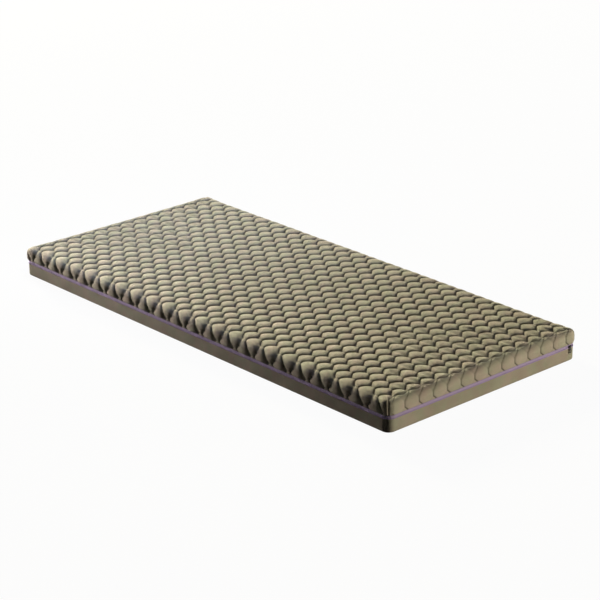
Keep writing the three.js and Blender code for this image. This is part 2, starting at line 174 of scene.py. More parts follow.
# The edge tape on each hem: its width, its outer face, and its outline in millimetres, as insets from the
# block's outer face and rises from the hem. The outline goes up the rounded outer face and back inside.
BINDING_WIDTH = 2.4 * MM
BINDING_OUTSIDE = 0.75 * MM
BINDING_OUTLINE = [(1.3, -0.12), (0.9, 0.1), (0.75, 0.6), (0.75, 1.6), (0.95, 2.1), (1.5, 2.3), (1.5, 0.0),
                   (3.3, 0.0), (3.3, -0.12)]
BINDING_STITCH_RISE = 1.1 * MM
STITCH_STEP = 4 * MM
STITCH_HALF = 1.4 * MM
THREAD_HALF = 0.22 * MM

# Lengths between the stations of the swept pieces
COARSE_STEP = 24 * MM
FINE_STEP = 9 * MM


# Numbers and meshes

def smooth_noise(x, y, size, seed):
    """Gentle waves of about the given size over the flat cloth, mostly between -1 and 1."""
    random = np.random.RandomState(seed)
    total = np.zeros_like(x)
    waves = 7
    level = 1.6
    for _ in range(waves):
        angle = random.uniform(0, math.pi)
        length = size * random.uniform(0.7, 1.4)
        phase = random.uniform(0, 2 * math.pi)
        total += np.sin(2 * math.pi * (x * math.cos(angle) + y * math.sin(angle)) / length + phase)
    return total / math.sqrt(waves) / level


def smooth_step(t):
    t = np.clip(t, 0, 1)
    return t * t * (3 - 2 * t)


def quarter_round(t):
    """Rises from 0 to 1 as a quarter of a circle does: steep at first, level at the end."""
    t = np.clip(t, 0, 1)
    return np.sqrt(1 - (1 - t) ** 2)


def between(first, second, share):
    return first + (second - first) * share


def new_object(name, points, faces, material, uvs=None, smooth=True, level_faces=0):
    """A mesh object from points and faces; uvs holds one place in the flat cloth for each point. The last
    faces, as many as level_faces says, take their place in the cloth from x and y."""
    mesh = bpy.data.meshes.new(name)
    mesh.from_pydata([tuple(p) for p in points], [], [tuple(f) for f in faces])
    mesh.validate()
    if uvs is not None:
        layer = mesh.uv_layers.new(name="cloth")
        corners = np.empty(len(mesh.loops), int)
        mesh.loops.foreach_get("vertex_index", corners)
        layer.data.foreach_set("uv", np.asarray(uvs, float)[corners].ravel())
        for polygon in mesh.polygons[len(mesh.polygons) - level_faces:]:
            for corner in polygon.loop_indices:
                layer.data[corner].uv = mesh.vertices[mesh.loops[corner].vertex_index].co.xy
    mesh.polygons.foreach_set("use_smooth", [smooth] * len(mesh.polygons))
    mesh.materials.append(material)
    piece = bpy.data.objects.new(name, mesh)
    bpy.context.scene.collection.objects.link(piece)
    return piece


def grid_faces(rows, columns):
    """Quads over a grid of points stored row by row. Seen from outside, a row runs to the right and the next
    one lies above it."""
    i = np.arange(rows - 1)[:, None] * columns + np.arange(columns - 1)[None, :]
    return np.stack([i, i + 1, i + columns + 1, i + columns], -1).reshape(-1, 4)


def ring_faces(ring, following):
    """Quads between two rings of point numbers that follow each other in a profile."""
    ahead = [*range(1, len(ring)), 0]
    return [(ring[j], ring[i], following[i], following[j]) for i, j in enumerate(ahead)]


# Places on the block

FOLD_TURNS = np.linspace(0, math.pi / 2, 200)
FOLD_STEPS = np.hypot(np.diff(FOLD_WIDTH * np.sin(FOLD_TURNS)), np.diff(FOLD_DROP * np.cos(FOLD_TURNS)))
FOLD_RUNS = np.concatenate([[0.0], np.cumsum(FOLD_STEPS)])
FOLD_ARC = float(FOLD_RUNS[-1])
RIM_X = HALF_X - FOLD_WIDTH
RIM_Y = HALF_Y - FOLD_WIDTH
HEM_DOWN = FOLD_ARC + (HEIGHT - FOLD_DROP - UPPER_HEM)
FAR_FROM_SEAM = 1.0
CORNER_HALF_ARC = CORNER_RADIUS * math.pi / 4
FRONT, RIGHT, REAR, LEFT = range(4)


def fold_over(u, v):
    """Lays points of the flat cloth over the block, and gives their place, the outward normal, the way down
    from the rim, where they lie in the quilting, and the way to the corner's seam. At a corner each flap runs
    on round the arc to the seam."""
    au, av = np.abs(u), np.abs(v)
    sign_u, sign_v = np.sign(u), np.sign(v)
    down = np.maximum(np.maximum(au - RIM_X, av - RIM_Y), 0)
    turned = np.interp(down, FOLD_RUNS, FOLD_TURNS)
    inset = FOLD_WIDTH * (1 - np.sin(turned))
    z = HEIGHT - FOLD_DROP * (1 - np.cos(turned)) - np.maximum(down - FOLD_ARC, 0)

    # Way along the side, and round the corner as a share of the way to its seam
    radius = CORNER_RADIUS * (1 - inset / FOLD_WIDTH)
    straight_x = HALF_X - inset - radius
    straight_y = HALF_Y - inset - radius
    on_end = au - RIM_X > av - RIM_Y
    along = np.where(on_end, av, au)
    straight = np.where(on_end, straight_y, straight_x)
    reach = np.where(on_end, RIM_Y, RIM_X) + down
    share = np.clip((along - straight) / np.maximum(reach - straight, TINY), 0, 1)
    turn = share * math.pi / 4

    # The fold is drawn up towards the corners, which makes them squarer
    from_corner = 1 - np.clip((straight - along) / CORNER_LENGTH, 0, 1)
    boxed = CORNER_DRAWN * smooth_step(from_corner) * np.sin(2 * turned)
    z = z + (HEIGHT - z) * np.where(down < FOLD_ARC, boxed, 0)

    across = np.minimum(along, straight) + radius * np.sin(turn)
    out = np.where(on_end, straight_x, straight_y) + radius * np.cos(turn)
    x = np.where(down > 0, np.where(on_end, out, across), au)
    y = np.where(down > 0, np.where(on_end, across, out), av)
    place = np.stack([x * sign_u, y * sign_v, z], -1)

    sideways, upward = FOLD_DROP * np.sin(turned), FOLD_WIDTH * np.cos(turned)
    length = np.hypot(sideways, upward)
    sideways, upward = sideways / length, upward / length
    out_x = np.where(on_end, np.cos(turn), np.sin(turn)) * sideways
    out_y = np.where(on_end, np.sin(turn), np.cos(turn)) * sideways
    normal = np.stack([out_x * sign_u, out_y * sign_v, upward], -1)

    run = np.minimum(along, straight) + radius * turn
    drawn = smooth_step(down / FOLD_ARC)
    end_u = RIM_X + down - END_PULL * drawn
    side_v = RIM_Y + down - SIDE_PULL * drawn
    quilt_u = np.where(down > 0, np.where(on_end, end_u * sign_u, run * sign_u - SIDE_SKEW * drawn), u)
    quilt_v = np.where(down > 0, np.where(on_end, run * sign_v - END_SKEW * drawn, side_v * sign_v), v)
    seam_gap = np.where(down > 0, radius * (math.pi / 4 - turn), FAR_FROM_SEAM)
    return place, normal, down, (quilt_u, quilt_v), seam_gap


def side_half(side):
    """Half of a side's straight run."""
    return (HALF_X if side in (FRONT, REAR) else HALF_Y) - CORNER_RADIUS


def outline_point(side, run, inset, z):
    """A point of one side: run along it and round half of each corner."""
    half = side_half(side)
    reach = HALF_Y if side in (FRONT, REAR) else HALF_X
    past = max(0.0, abs(run) - half) / CORNER_RADIUS
    radius = CORNER_RADIUS - inset
    along = math.copysign(min(abs(run), half) + radius * math.sin(past), run)
    out = reach - CORNER_RADIUS + radius * math.cos(past)
    return ((along, -out, z), (out, along, z), (-along, out, z), (-out, -along, z))[side]


def outline_runs(step, corner_steps=6):
    """Stations once round the block, counter-clockwise from the front left corner seam: (side, run)."""
    stations = []
    for side in (FRONT, RIGHT, REAR, LEFT):
        half = side_half(side)
        arc = [half + CORNER_HALF_ARC * i / corner_steps for i in range(corner_steps, 0, -1)]
        count = max(1, round(2 * half / step))
        stations += [(side, -run) for run in arc]
        stations += [(side, -half + 2 * half * i / count) for i in range(count + 1)]
        stations += [(side, run) for run in reversed(arc[1:])]
    return stations


# Quilted cloth

def zigzag(boundary, v):
    """Where a boundary between two columns lies at v: it swings towards the column whose neck is there."""
    phase = (v - EVEN_PILLOW_AT) / PILLOW_STEP
    wave = 1 - 4 * np.abs(phase - np.floor(phase + 0.5))
    swing = (BELLY_HALF - NECK_HALF) / 2 * wave
    return COLUMN_AT + (boundary + 0.5) * COLUMN_STEP + np.where(boundary % 2 == 0, swing, -swing)


def pillow_fullness(column, row, neck):
    """A factor for the height of each pillow, which leaves its necks alone."""
    number = np.sin(column * HASH_COLUMN + row * HASH_ROW) * HASH_SCALE
    return 1 + (FULLNESS_SPREAD * (number - np.floor(number)) - FULLNESS_LOSS) * np.sqrt(neck)


def pillow_height(u, v, on_side, on_end):
    """Height of the quilting above its stitches, 0 at a stitch and about 1 on a crown, and the painted shade
    of its groove, which on top grows towards the slanting stitches. On top the necks are shallow; where
    on_side is 1 the pillows are flat, with a thin painted dark line round them."""
    shade_line_width = np.where(on_end, END_SHADE_LINE_WIDTH, SIDE_SHADE_LINE_WIDTH)
    flap_neck_share = np.where(on_end, 1.0, LONG_SIDE_NECK_SHARE)
    flap_power = np.where(on_end, END_POWER, SIDE_POWER)
    cross_power = between(CROSS_POWER, flap_power, on_side)
    away_power = between(AWAY_POWER, flap_power, on_side)
    away_share = between(AWAY_DEPTH_SHARE, 1, on_side)
    neck_power = between(NECK_POWER, FLAP_NECK_POWER, on_side)
    neck_share = between(TOP_NECK_SHARE, flap_neck_share, on_side)
    # Painted shade lines: on the near end the faint ones follow the light's direction
    past_neck = smooth_step((u - COLUMN_AT - COLUMN_STEP) / LINE_FADE + 0.5)
    faint_share = np.where(on_end & (u > 0), FAINT_SHADE_LINE_SHARE, 1.0)
    cross_shade_line = between(faint_share, 1, past_neck)
    away_shade_line = between(1, faint_share, past_neck)

    # Each point lies in the pillow of its own column or in that of the next
    half = PILLOW_STEP / 2
    waist = BELLY_HALF - NECK_HALF
    slant = BELLY_HALF * half
    span = slant / math.hypot(half, waist) / shade_line_width
    first_column = np.floor((u - COLUMN_AT) / COLUMN_STEP)
    nearest = np.full_like(u, -1.0)
    height = np.zeros_like(u)
    painted_groove_shade = np.zeros_like(u)
    for column in (first_column, first_column + 1):
        shift = EVEN_PILLOW_AT + np.where(column % 2 == 0, 0, half)
        row = np.round((v - shift) / PILLOW_STEP)
        dv = v - shift - row * PILLOW_STEP
        du = u - COLUMN_AT - column * COLUMN_STEP
        near = (BELLY_HALF - np.abs(du)) * half - np.abs(dv) * waist
        from_cross = np.clip(1 - np.abs(du * half - dv * waist) / slant, 0, 1)
        from_away = np.clip(1 - np.abs(du * half + dv * waist) / slant, 0, 1)
        cross = (from_cross * (2 - from_cross)) ** cross_power
        away = 1 - away_share * (1 - (from_away * (2 - from_away)) ** away_power)
        neck = np.clip(1 - (dv / half) ** 2, 0, 1)
        sewn_neck = 1 - neck_share * (1 - neck ** neck_power)
        here = cross * away * sewn_neck * pillow_fullness(column, row, neck)
        shade_line = np.maximum(np.exp(-(from_cross * span) ** 2) * cross_shade_line,
                          np.exp(-(from_away * span) ** 2) * away_shade_line)
        shade_line = np.maximum(shade_line, np.exp(-((half - np.abs(dv)) / shade_line_width) ** 2) * flap_neck_share)
        # Painted shade: on top darker towards the slanting stitches, on the flaps a dark line along them
        painted_shade = between(1 - cross * away, shade_line, on_side)
        height = np.where(near > nearest, here, height)
        painted_groove_shade = np.where(near > nearest, painted_shade, painted_groove_shade)
        nearest = np.maximum(nearest, near)
    return height, painted_groove_shade


def quilt_knots(hem_v):
    """Places along Y where the zigzag stitches turn, from hem to hem."""
    half = PILLOW_STEP / 2
    smallest = 2 * MM
    first = math.floor((-hem_v - EVEN_PILLOW_AT) / half)
    last = math.ceil((hem_v - EVEN_PILLOW_AT) / half)
    knots = [EVEN_PILLOW_AT + i * half for i in range(first, last + 1)]
    return [-hem_v] + [k for k in knots if abs(k) < hem_v - smallest] + [hem_v]


def quilt_lines():
    """Grid of the flat cloth: its lines along Y follow the zigzag stitches, and close up beside them. It is
    twice as fine over the edges and down the flaps."""
    column_cells = 14
    knot_cells = 9
    flap_factor = 2
    closeness = 0.11
    smallest = 4 * MM
    hem_u = RIM_X + HEM_DOWN
    hem_v = RIM_Y + HEM_DOWN
    knots = quilt_knots(hem_v)
    v = [knots[0]]
    for low, high in zip(knots, knots[1:]):
        factor = 1 if max(-high, low) < RIM_Y - PILLOW_STEP / 2 else flap_factor
        count = max(2, round(knot_cells * factor * (high - low) / (PILLOW_STEP / 2)))
        v += [low + (high - low) * (i / count) for i in range(1, count + 1)]
    v = np.array(v)
    most = math.ceil((hem_u + COLUMN_AT) / COLUMN_STEP)
    swing = (BELLY_HALF - NECK_HALF) / 2
    boundaries = [b for b in range(-most, most)
                  if abs(COLUMN_AT + (b + 0.5) * COLUMN_STEP) + swing < hem_u - smallest]
    edges = [np.full_like(v, -hem_u)] + [zigzag(b, v) for b in boundaries] + [np.full_like(v, hem_u)]
    columns = [edges[0]]
    for low, high in zip(edges, edges[1:]):
        count = column_cells * (1 if max(-high.max(), low.min()) < RIM_X - COLUMN_STEP else flap_factor)
        for i in range(1, count + 1):
            t = i / count
            columns.append(low + (high - low) * (t - closeness * math.sin(2 * math.pi * t)))
    return np.stack(columns, 1), np.repeat(v[:, None], len(columns), 1)


def quilted_surface(u, v):
    """The outer face of the quilted cloth: its points, their place in the quilting, and the painted shade of
    its grooves there."""
    place, normal, down, (quilt_u, quilt_v), seam_gap = fold_over(u, v)
    on_side = np.clip(down / (FOLD_ARC / 2), 0, 1)
    on_end = np.abs(u) - RIM_X > np.abs(v) - RIM_Y
    height, painted_shade = pillow_height(quilt_u, quilt_v, on_side, on_end)

    # Calm cloth beside the corners: flatter, and with less painted shade
    beside_seam = 1 - smooth_step((seam_gap - CALM_GAP) / CALM_GAP_FADE)
    calm = beside_seam * smooth_step((down - CALM_DOWN) / CALM_DOWN_FADE)
    height = between(height, CALM_HEIGHT, calm)

    # Crease along the rim of the ends, which swings with the pillows: a shallow dip, with painted shade in it
    crease_down = CREASE_DOWN + CREASE_SWING * np.cos(2 * math.pi * (quilt_v - EVEN_PILLOW_AT) / PILLOW_STEP)
    crease = np.exp(-((down - crease_down) / CREASE_WIDTH) ** 2) * np.where(on_end, 1 - calm, 0)
    height = height * (1 - CREASE_SHARE * crease)
    painted_shade = np.maximum(painted_shade, CREASE_SHADE * crease)

    # Seam in each corner: a dip, with painted shade in it
    seam = quarter_round(seam_gap / SEAM_WIDTH)
    on_flap = smooth_step(down / SEAM_FADE)
    height = height * between(1, seam, on_flap)
    painted_shade = np.maximum(painted_shade * (1 - calm), (1 - seam) * on_flap)

    depth = between(TOP_DEPTH, np.where(on_end, END_DEPTH, SIDE_DEPTH), on_side)
    puff = between(TOP_PUFF, np.where(on_end, END_PUFF, SIDE_PUFF), on_side)
    hem = quarter_round((HEM_DOWN - down - BINDING_WIDTH) / HEM_ROUNDING)
    lift = (depth * (height - 1) + puff) * hem - CLOTH_INSET * (1 - hem)
    lift = lift + smooth_noise(quilt_u, quilt_v, QUILT_WAVE, SEED + 2) * QUILT_WAVE_DEPTH * hem
    return place + normal * lift[..., None], np.stack([quilt_u, quilt_v], -1), np.clip(painted_shade, 0, 1)


def inner_rings(u, v):
    """Rings of the inner face of the quilted cloth, from its hem up to its flat underside, with a point for
    each one on the cloth's border. Each ring has its way down from the rim, and its sink under the block's
    outer face."""
    on_end = np.abs(u) - RIM_X > np.abs(v) - RIM_Y
    share = np.where(on_end, np.abs(v) / (RIM_Y + HEM_DOWN), np.abs(u) / (RIM_X + HEM_DOWN))
    hem_turn = 1.2 * MM
    downs = (HEM_DOWN, HEM_DOWN - hem_turn, FOLD_ARC, FOLD_ARC * 0.66, FOLD_ARC * 0.33, 0.0)
    sinks = (2.6 * MM, CLOTH_INSIDE, CLOTH_INSIDE, 4 * MM, 5.5 * MM, TOP_INSIDE)
    rings = []
    for down, sink in zip(downs, sinks):
        reach_u, reach_v = RIM_X + down, RIM_Y + down
        ring_u = np.where(on_end, reach_u, share * reach_u)
        ring_v = np.where(on_end, share * reach_v, reach_v)
        place, normal, *_ = fold_over(ring_u * np.sign(u), ring_v * np.sign(v))
        rings.append(place - normal * sink)
    return rings


def quilted_cover(material):
    """One cloth over the top and down to the zip, closed by its hem and its inner face."""
    u, v = quilt_lines()
    rows, columns = u.shape
    place, quilting, painted_shade = quilted_surface(u, v)
    points = list(place.reshape(-1, 3))
    uvs = list(quilting.reshape(-1, 2))
    faces = [tuple(f) for f in grid_faces(rows, columns)]

    # The border of the grid, counter-clockwise from above
    index = np.arange(rows * columns).reshape(rows, columns)
    border = np.concatenate([index[0, :-1], index[:-1, -1], index[-1, :0:-1], index[:0:-1, 0]])
    rings = [border]
    for ring in inner_rings(u.reshape(-1)[border], v.reshape(-1)[border]):
        rings.append(np.arange(len(points), len(points) + len(ring)))
        points += list(ring)
        uvs += [uvs[i] for i in border]
    for outer, inner in zip(rings, rings[1:]):
        faces += ring_faces(outer, inner)
    faces.append(tuple(rings[-1][::-1]))
    cloth = new_object("quilted_cloth", points, faces, material, uvs)
    # Painted shade in the grooves, kept on the outer points for the material
    painted_groove_shade = cloth.data.attributes.new("painted_groove_shade", "FLOAT", "POINT")
    values = np.zeros(len(points))
    values[:rows * columns] = painted_shade.reshape(-1)
    painted_groove_shade.data.foreach_set("value", values)
    return cloth


# Pieces swept round the block

def fold_profile(inset, top, steps=8):
    """Insets and heights of the upper edge inside the quilted cloth, from the side up to the flat top."""
    side_top = HEIGHT - FOLD_DROP
    turns = [math.pi / 2 * i / steps for i in range(steps + 1)]
    return [(inset + (FOLD_WIDTH - inset) * (1 - math.cos(t)), side_top + (top - side_top) * math.sin(t))
            for t in turns]


def lower_edge(inset, bottom, radius, steps=6):
    """Insets and heights of a rounded lower edge, from the side down to the underside."""
    turns = [math.pi / 2 * i / steps for i in range(steps + 1)]
    return [(inset + radius * (1 - math.cos(t)), bottom + radius * (1 - math.sin(t))) for t in turns]


def shell_round(name, profile, stations, material, wave=None):
    """A closed body of rings round the block. Its profile goes down on outer faces and up on inner ones, and
    wave gives how far the points of a ring stand out, from their way round, their inset and their height."""
    base = [outline_point(side, run, CLOTH_INSET, 0) for side, run in stations]
    around = np.concatenate([[0.0], np.cumsum([math.dist(a, b) for a, b in zip(base, base[1:])])])
    points, uvs, faces = [], [], []
    count = len(stations)
    for inset, z in profile:
        ring = np.array([outline_point(side, run, inset, z) for side, run in stations])
        if wave:
            inner = np.array([outline_point(side, run, inset + MM, z) for side, run in stations])
            ring = ring + (ring - inner) / MM * wave(around, inset, z)[:, None]
        points += list(ring)
        uvs += [(a, z - inset) for a in around]
    rings = [range(row * count, (row + 1) * count) for row in range(len(profile))]
    for here, below in zip(rings, rings[1:]):
        faces += ring_faces(here, below)
    faces.append(tuple(rings[0]))
    faces.append(tuple(rings[-1])[::-1])
    return new_object(name, points, faces, material, uvs, level_faces=2)


def plain_cover(material):
    """The smooth lower half: bottom, rounded lower edge and sides up to the zip, with its hem turned in."""
    inner = lower_edge(PLAIN_INSIDE, PLAIN_THICKNESS, PLAIN_EDGE - PLAIN_THICKNESS)[::-1]
    inner_round, outer_round, outer_turn = 0.8 * MM, 0.2 * MM, 0.3 * MM
    hem_top = [(PLAIN_INSIDE, LOWER_HEM - inner_round), (PLAIN_INSIDE - inner_round, LOWER_HEM),
               (CLOTH_INSET + outer_round, LOWER_HEM), (CLOTH_INSET, LOWER_HEM - outer_turn)]
    side_rows = 10
    side_top = LOWER_HEM - 2 * MM
    outer = [(CLOTH_INSET, side_top + (PLAIN_EDGE - side_top) * i / side_rows) for i in range(side_rows)]

    def slack(around, inset, z):
        """Slow waves and finer pulls, none at the hem, at the floor or inside."""
        if inset > CLOTH_INSET + outer_round / 2:
            return np.zeros_like(around)
        fade = min(1.0, z / SLACK_FLOOR_FADE) * min(1.0, max(0.0, side_top - z) / SLACK_HEM_FADE)
        heights = np.full(len(around), z)
        slow = smooth_noise(around, heights * SLACK_SQUASH, SLACK_WAVE, SEED + 3) * SLACK_DEPTH
        pull = smooth_noise(around, heights, PULL_WAVE, SEED + 4) * PULL_DEPTH
        return (slow + pull) * fade

    profile = inner + hem_top + outer + lower_edge(CLOTH_INSET, 0, PLAIN_EDGE)
    stations = outline_runs(FINE_STEP)
    return shell_round("plain_cloth", profile, stations, material, slack)


def backing_cloth(material):
    """The thin cloth that the wadding is stitched through to: a tray turned over the foam."""
    outer = fold_profile(BACKING_OUTSIDE, BACKING_TOP)[::-1] + [(BACKING_OUTSIDE, BACKING_HEM)]
    inside = BACKING_OUTSIDE + BACKING_THICKNESS
    inner = [(inside, BACKING_HEM)] + fold_profile(inside, BACKING_TOP - BACKING_THICKNESS)
    return shell_round("backing_cloth", outer + inner, outline_runs(COARSE_STEP), material)


def foam_block(material):
    """The filling, cut from one block and rounded along its edges."""
    def uneven(around, inset, z):
        heights = np.full(len(around), z)
        return (smooth_noise(around, heights, FOAM_WAVE, SEED + 5) - 1) * FOAM_WAVE_DEPTH

    profile = fold_profile(FOAM_INSET, FOAM_TOP)[::-1] + lower_edge(FOAM_INSET, FOAM_BOTTOM, FOAM_EDGE)
    return shell_round("foam_block", profile, outline_runs(COARSE_STEP), material, uneven)


# Zip, with insets from the block's outer face and rises from the chain's middle line

ZIP_HEIGHT = (UPPER_HEM + LOWER_HEM) / 2
TAPE_OUTSIDE = 3.9 * MM
TAPE_THICKNESS = 0.5 * MM
TAPE_WIDTH = 15 * MM
TAPE_END = 0.5 * MM
TAPE_STEP = 12 * MM
COIL_OUTSIDE = 1.8 * MM
COIL_BACK = 3.6 * MM
COIL_BEVEL = 0.5 * MM
COIL_INNER = 0.75 * MM
COIL_OUTER = 2.5 * MM
COIL_START = 7 * MM
TOOTH_STEP = 1.5 * MM
MESHED_TOOTH = -0.6 * MM
OPEN_TOOTH = 0.6 * MM
RIB_DEPTH = 0.45 * MM


def zip_stations(step, start_run, end_run):
    """Stations from the start run on the rear side, counter-clockwise, to the end run on the right side."""
    sides = {FRONT: [], RIGHT: [], REAR: [], LEFT: []}
    for side, run in outline_runs(step, max(6, round(CORNER_HALF_ARC / step))):
        sides[side].append((side, run))
    first = [station for station in sides[REAR] if station[1] > start_run]
    last = [station for station in sides[RIGHT] if station[1] < end_run]
    return [(REAR, start_run)] + first + sides[LEFT] + sides[FRONT] + last + [(RIGHT, end_run)]


def tape_stations(step):
    """Stations of the tapes, whose ends meet at the rear right corner."""
    reach = CORNER_HALF_ARC - TAPE_END
    return zip_stations(step, -side_half(REAR) - reach, side_half(RIGHT) + reach)


def strip_round(name, sections, stations, material):
    """A strip swept along stations. There is one section of (inset, height) for each station, and it goes up
    on its outer face."""
    points, uvs, faces = [], [], []
    size = len(sections[0])
    first = sections[0]
    across = np.concatenate([[0.0], np.cumsum([math.dist(a, b) for a, b in zip(first, first[1:])])])
    along = 0.0
    for (side, run), section in zip(stations, sections):
        ring = [outline_point(side, run, inset, z) for inset, z in section]
        along += math.dist(points[-size], ring[0]) if points else 0
        points += ring
        uvs += [(along, a) for a in across]
    count = len(stations)
    for i in range(count - 1):
        here, there = i * size, (i + 1) * size
        for k in range(size):
            n = (k + 1) % size
            faces.append((here + k, there + k, there + n, here + n))
    faces.append(tuple(range(size)))
    faces.append(tuple(range((count - 1) * size, count * size))[::-1])
    return new_object(name, points, faces, material, uvs)


def mirrored(section, sign, middle):
    """A section given as insets and rises away from a height, as insets and heights above or below it."""
    placed = [(inset, middle + sign * rise) for inset, rise in section]
    return placed if sign > 0 else placed[::-1]


def zip_tape(name, sign, material):
    """The flat strip behind the upper or lower hem, which carries the coil."""
    back = TAPE_OUTSIDE + TAPE_THICKNESS
    far = COIL_INNER + TAPE_WIDTH
    section = [(TAPE_OUTSIDE, COIL_INNER), (TAPE_OUTSIDE, far), (back, far), (back, COIL_INNER)]
    stations = tape_stations(TAPE_STEP)
    return strip_round(name, [mirrored(section, sign, ZIP_HEIGHT)] * len(stations), stations, material)


def zip_coil(name, sign, material):
    """One coil of the zip, ribbed across. Its teeth mesh with those of the other coil, apart from the end
    that the slider runs along, where they stand clear of its post."""
    step = TOOTH_STEP * 1
    stations = zip_stations(step, -side_half(REAR) + COIL_START, side_half(RIGHT))
    sections = []
    for i, (side, run) in enumerate(stations):
        tooth = (i % 2 == 0) == (sign > 0)
        outside = COIL_OUTSIDE + (0 if tooth else RIB_DEPTH)
        reach = OPEN_TOOTH if side == RIGHT else MESHED_TOOTH
        inner = reach if tooth else COIL_INNER
        bevelled = outside + COIL_BEVEL
        section = [(bevelled, inner), (outside, inner + COIL_BEVEL), (outside, COIL_OUTER - COIL_BEVEL),
                   (bevelled, COIL_OUTER), (COIL_BACK, COIL_OUTER), (COIL_BACK, inner)]
        sections.append(mirrored(section, sign, ZIP_HEIGHT))
    return strip_round(name, sections, stations, material)


def hem_binding(name, sign, material):
    """The narrow edge tape that is folded over a hem."""
    hem = UPPER_HEM if sign > 0 else LOWER_HEM
    section = [(inset * MM, rise * MM) for inset, rise in BINDING_OUTLINE]
    stations = tape_stations(FINE_STEP)
    return strip_round(name, [mirrored(section, sign, hem)] * len(stations), stations, material)


def stitch_row(name, inset, z, material):
    """A row of single stitches round the block, each a small six-sided grain of thread."""
    sides = 6
    turns = [2 * math.pi / sides * k for k in range(sides)]
    middle = inset + THREAD_HALF
    points, faces = [], []
    for side, run in tape_stations(STITCH_STEP)[1:-1]:
        start = len(points)
        end = start + sides + 1
        points.append(outline_point(side, run - STITCH_HALF, middle, z))
        for turn in turns:
            waist_inset = inset - THREAD_HALF * math.cos(turn)
            points.append(outline_point(side, run, waist_inset, z + THREAD_HALF * math.sin(turn)))
        points.append(outline_point(side, run + STITCH_HALF, middle, z))
        for k in range(sides):
            here, there = start + 1 + k, start + 1 + (k + 1) % sides
            faces.append((start, here, there))
            faces.append((end, there, here))
    return new_object(name, points, faces, material, [(p[0] + p[1], p[2]) for p in points])


# Nodes of the materials

WHITE = (1, 1, 1, 1)


def srgb(*screen):
    """Linear colour from 0-255 values as seen on a screen."""
    shares = [value / 255 for value in screen]
    return tuple(((s + 0.055) / 1.055) ** 2.4 if s > 0.04045 else s / 12.92 for s in shares)


def put(tree, socket, value):
    """Sets a socket, or links it where the value is another node's output."""
    if isinstance(value, bpy.types.NodeSocket):
        tree.links.new(value, socket)
    else:
        socket.default_value = value


def add(tree, kind, **settings):
    """A node with its named attributes and inputs set."""
    node = tree.nodes.new(kind)
    for key, value in settings.items():
        if hasattr(node, key):
            setattr(node, key, value)
        else:
            put(tree, node.inputs[key.replace("_", " ")], value)
    return node


def calculated(tree, operation, first, second):
    node = add(tree, "ShaderNodeMath", operation=operation)
    put(tree, node.inputs[0], first)
    put(tree, node.inputs[1], second)
    return node.outputs[0]


def mapped(tree, value, source=(0, 1), result=(0, 1)):
    """A value moved from one range to another, and held within it."""
    node = add(tree, "ShaderNodeMapRange")
    for socket, part in zip(node.inputs, (value, *source, *result)):
        put(tree, socket, part)
    return node.outputs[0]


def mixed_color(tree, share, first, second, blend="MIX"):
    """Two colours mixed. The node's colour sockets come after those for numbers and vectors."""
    node = add(tree, "ShaderNodeMix", data_type="RGBA", blend_type=blend)
    share_socket, first_socket, second_socket = node.inputs[0], node.inputs[6], node.inputs[7]
    put(tree, share_socket, share)
    put(tree, first_socket, first)
    put(tree, second_socket, second)
    return node.outputs[2]


def mixed_shader(tree, share, first, second):
    node = add(tree, "ShaderNodeMixShader")
    for socket, part in zip(node.inputs, (share, first.outputs[0], second.outputs[0])):
        put(tree, socket, part)
    return node.outputs[0]


def noise(tree, place, detail, scale=1.0):
    return add(tree, "ShaderNodeTexNoise", Vector=place, Scale=scale, Detail=detail).outputs[0]


def cloth_place(tree, scale_u, scale_v):
    """The place of a point in the flat cloth, scaled."""
    uv = add(tree, "ShaderNodeUVMap", uv_map="cloth")
    return add(tree, "ShaderNodeMapping", Vector=uv.outputs[0], Scale=(scale_u, scale_v, 1)).outputs[0]


def bumped(tree, shader, height, strength, distance):
    """Gives a shader fine relief from a height."""
    bump = add(tree, "ShaderNodeBump", Strength=strength, Distance=distance, Height=height)
    put(tree, shader.inputs["Normal"], bump.outputs[0])


def new_material(name, color, roughness):
    material = bpy.data.materials.new(name)
    material.use_nodes = True
    tree = material.node_tree
    shader = tree.nodes["Principled BSDF"]
    shader.inputs["Base Color"].default_value = (*color, 1)
    shader.inputs["Roughness"].default_value = roughness
    return material, tree, shader


def bare_material(name):
    material = bpy.data.materials.new(name)
    material.use_nodes = True
    material.node_tree.nodes.clear()
    return material, material.node_tree


# Materials

GREENISH = (0.93, 1.0, 0.92)
PINKISH = (1.0, 0.94, 0.94)
CAST_PATCHES = (22, 16)
CAST_FROM, CAST_TO = 0.36, 0.64
TONE_PATCHES = 9
TONE_GRAIN = 900
TONE_RANGE = (0.75, 1.25)
# How dark the painted shade in the grooves is, as a share of the dark tone
PAINTED_SHADE_TONE = 0.18
CLOTH_ROUGHNESS = 0.92
CLOTH_SPECULAR = 0.2
SHEEN_ROUGHNESS = 0.5
ROUGHNESS_SWING = 0.12
LEAST_ROUGHNESS = 0.05


def cast_color(tree):
    """A cast that drifts between greenish and pinkish in patches."""
    patches = noise(tree, cloth_place(tree, *CAST_PATCHES), detail=2.0)
    tint = add(tree, "ShaderNodeValToRGB")
    for element, position, color in zip(tint.color_ramp.elements, (CAST_FROM, CAST_TO), (GREENISH, PINKISH)):
        element.position = position
        element.color = (*color, 1)
    put(tree, tint.inputs[0], patches)
    return tint.outputs[0]


